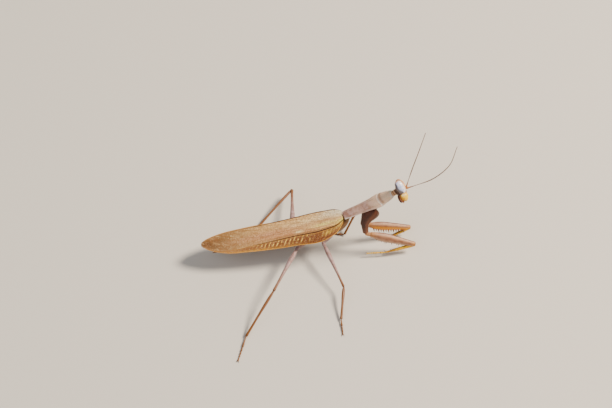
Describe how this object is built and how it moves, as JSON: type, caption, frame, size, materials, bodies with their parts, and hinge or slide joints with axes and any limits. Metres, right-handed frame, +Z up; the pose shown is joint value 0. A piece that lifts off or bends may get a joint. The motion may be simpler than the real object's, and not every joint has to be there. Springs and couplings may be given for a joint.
{
  "type": "praying mantis",
  "caption": "Life-size still model of an adult brown praying mantis standing on its walking legs, wings folded, spined forelegs held forward and head turned up.",
  "frame": {"origin": "centre of the model's footprint box, on the floor", "axes": "+X forwards to the head, +Y to the insect's left, +Z up"},
  "size_m": [0.0798, 0.0616, 0.0475],
  "materials": {
    "wing_brown": "leathery golden-brown forewing, satin",
    "hindwing_smoke": "smoky folded membrane, satin",
    "cuticle_mauve": "pinkish-brown cuticle, satin",
    "cuticle_brown": "brown cuticle, satin",
    "leg_lilac_brown": "lilac-brown cuticle, satin",
    "raptorial_tan": "tan cuticle, satin",
    "tibia_yellow": "yellow cuticle, satin",
    "eye_lavender": "smooth faceted cornea, glossy",
    "mouth_amber": "amber cuticle, glossy",
    "antenna_umber": "umber cuticle, matte"
  },
  "bodies": {
    "root": {"abdomen": "cuticle_brown", "antenna_left": "antenna_umber", "antenna_right": "antenna_umber", "cercus_left": "cuticle_brown", "cercus_right": "cuticle_brown", "eye_left": "eye_lavender", "eye_right": "eye_lavender", "foreleg_left_coxa": "leg_lilac_brown", "foreleg_left_femur": "raptorial_tan", "foreleg_left_tarsus": "leg_lilac_brown", "foreleg_left_tibia": "tibia_yellow", "foreleg_left_trochanter": "raptorial_tan", "foreleg_right_coxa": "leg_lilac_brown", "foreleg_right_femur": "raptorial_tan", "foreleg_right_tarsus": "leg_lilac_brown", "foreleg_right_tibia": "tibia_yellow", "foreleg_right_trochanter": "raptorial_tan", "head": "cuticle_mauve", "hindleg_left_coxa": "leg_lilac_brown", "hindleg_left_femur": "leg_lilac_brown", "hindleg_left_tarsus": "leg_lilac_brown", "hindleg_left_tibia": "leg_lilac_brown", "hindleg_left_trochanter": "leg_lilac_brown", "hindleg_right_coxa": "leg_lilac_brown", "hindleg_right_femur": "leg_lilac_brown", "hindleg_right_tarsus": "leg_lilac_brown", "hindleg_right_tibia": "leg_lilac_brown", "hindleg_right_trochanter": "leg_lilac_brown", "hindwings": "hindwing_smoke", "midleg_left_coxa": "leg_lilac_brown", "midleg_left_femur": "leg_lilac_brown", "midleg_left_tarsus": "leg_lilac_brown", "midleg_left_tibia": "leg_lilac_brown", "midleg_left_trochanter": "leg_lilac_brown", "midleg_right_coxa": "leg_lilac_brown", "midleg_right_femur": "leg_lilac_brown", "midleg_right_tarsus": "leg_lilac_brown", "midleg_right_tibia": "leg_lilac_brown", "midleg_right_trochanter": "leg_lilac_brown", "mouthparts": "mouth_amber", "neck": "cuticle_brown", "pronotum": "cuticle_mauve", "pterothorax": "cuticle_brown", "tegmen_left": "wing_brown", "tegmen_right": "wing_brown"}
  },
  "joints": []
}
